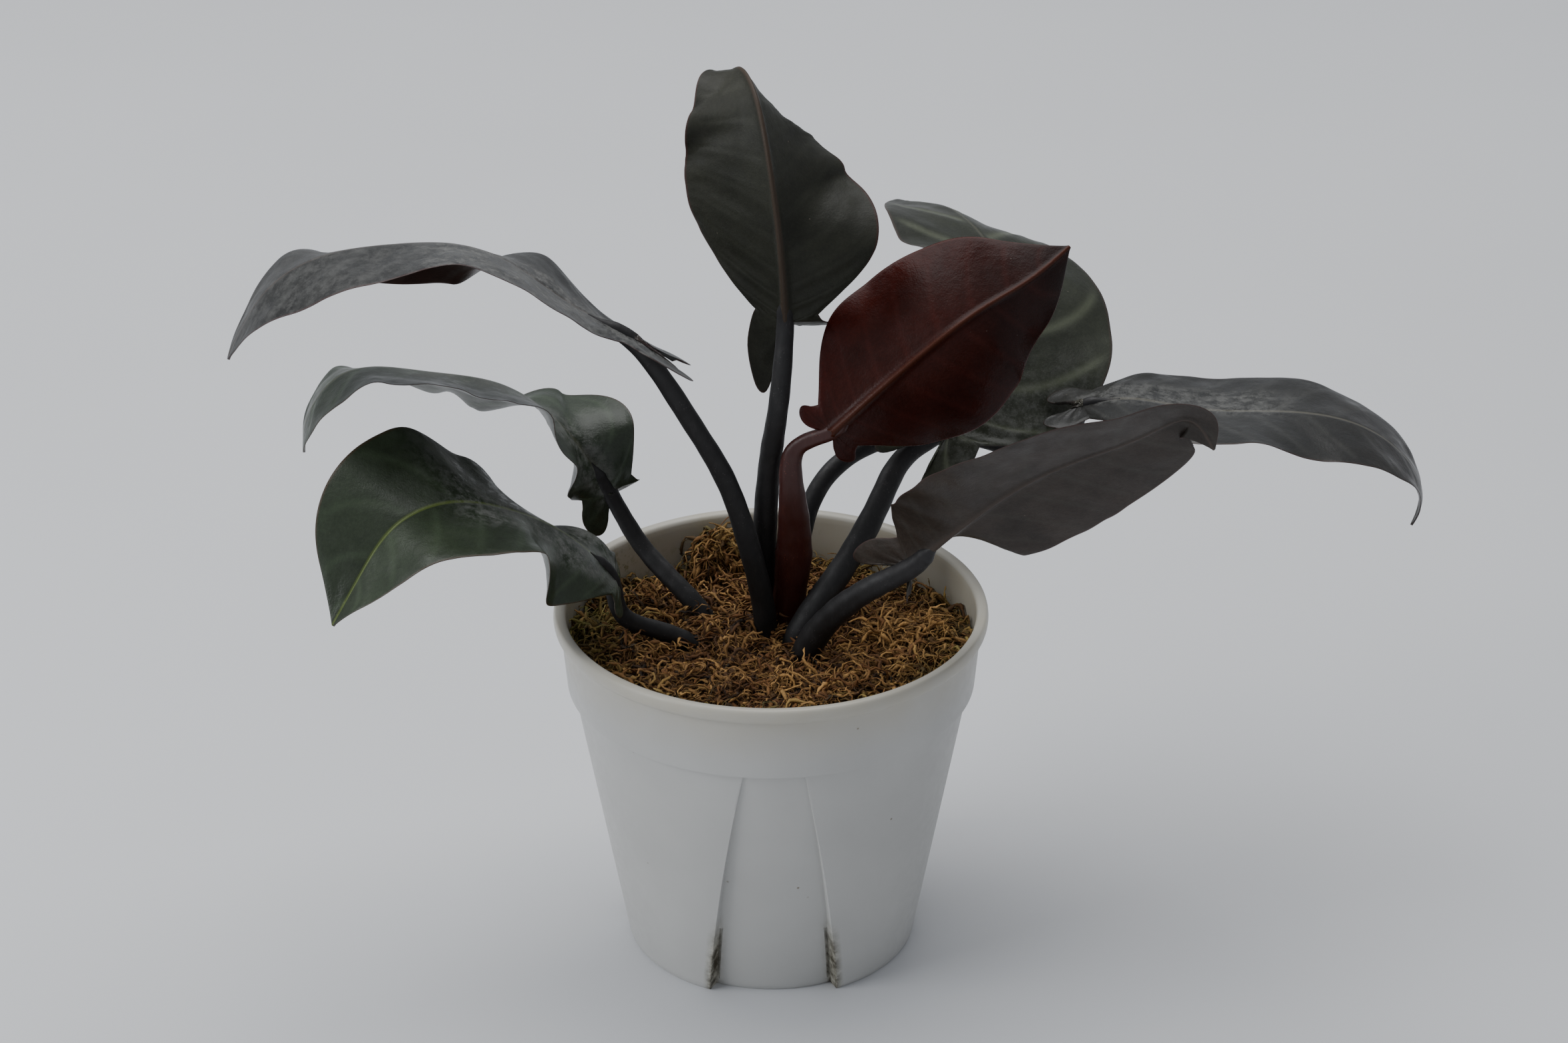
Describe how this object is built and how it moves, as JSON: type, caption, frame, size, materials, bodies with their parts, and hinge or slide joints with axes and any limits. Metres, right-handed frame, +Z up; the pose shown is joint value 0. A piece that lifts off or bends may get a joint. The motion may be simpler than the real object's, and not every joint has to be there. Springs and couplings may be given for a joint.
{
  "type": "potted philodendron",
  "caption": "Potted foliage plant: dark sagittate leaves on long stalks rising from a moss-filled, tapered plastic nursery pot.",
  "frame": {"origin": "centre of the pot's underside, on the surface that it stands on", "axes": "+Z up along the pot's axis, -Y towards the viewer of the front, +X to that viewer's right; the leaves reach furthest along X"},
  "size_m": [0.4051, 0.2057, 0.3106],
  "materials": {
    "pot": "white polypropylene, satin, slightly cream at the rim",
    "moss": "loose dried sphagnum moss, orange-brown to tan",
    "stem": "dark live stem, dull",
    "stalk_left_high": "smooth live leaf stalk, near black, satin",
    "stalk_left_middle": "smooth live leaf stalk, near black, satin",
    "stalk_left_low": "smooth live leaf stalk, near black, satin",
    "stalk_upright": "smooth live leaf stalk, near black, satin",
    "stalk_red": "smooth live leaf stalk, dark red, satin",
    "stalk_back": "smooth live leaf stalk, near black, satin",
    "stalk_right_far": "smooth live leaf stalk, near black, satin",
    "stalk_right_front": "smooth live leaf stalk, near black, satin",
    "leaf_left_high": "waxy live leaf, satin to glossy",
    "leaf_left_middle": "waxy live leaf, satin to glossy",
    "leaf_left_low": "waxy live leaf, satin to glossy",
    "leaf_upright": "waxy live leaf, satin to glossy",
    "leaf_red": "waxy live leaf, satin to glossy",
    "leaf_back": "waxy live leaf, satin to glossy",
    "leaf_right_far": "waxy live leaf, satin to glossy",
    "leaf_right_front": "waxy live leaf, satin to glossy"
  },
  "bodies": {
    "root": {"pot": "pot", "moss": "moss", "stem": "stem", "stalk_left_high": "stalk_left_high", "stalk_left_middle": "stalk_left_middle", "stalk_left_low": "stalk_left_low", "stalk_upright": "stalk_upright", "stalk_red": "stalk_red", "stalk_back": "stalk_back", "stalk_right_far": "stalk_right_far", "stalk_right_front": "stalk_right_front", "leaf_left_high": "leaf_left_high", "leaf_left_middle": "leaf_left_middle", "leaf_left_low": "leaf_left_low", "leaf_upright": "leaf_upright", "leaf_red": "leaf_red", "leaf_back": "leaf_back", "leaf_right_far": "leaf_right_far", "leaf_right_front": "leaf_right_front"}
  },
  "joints": []
}
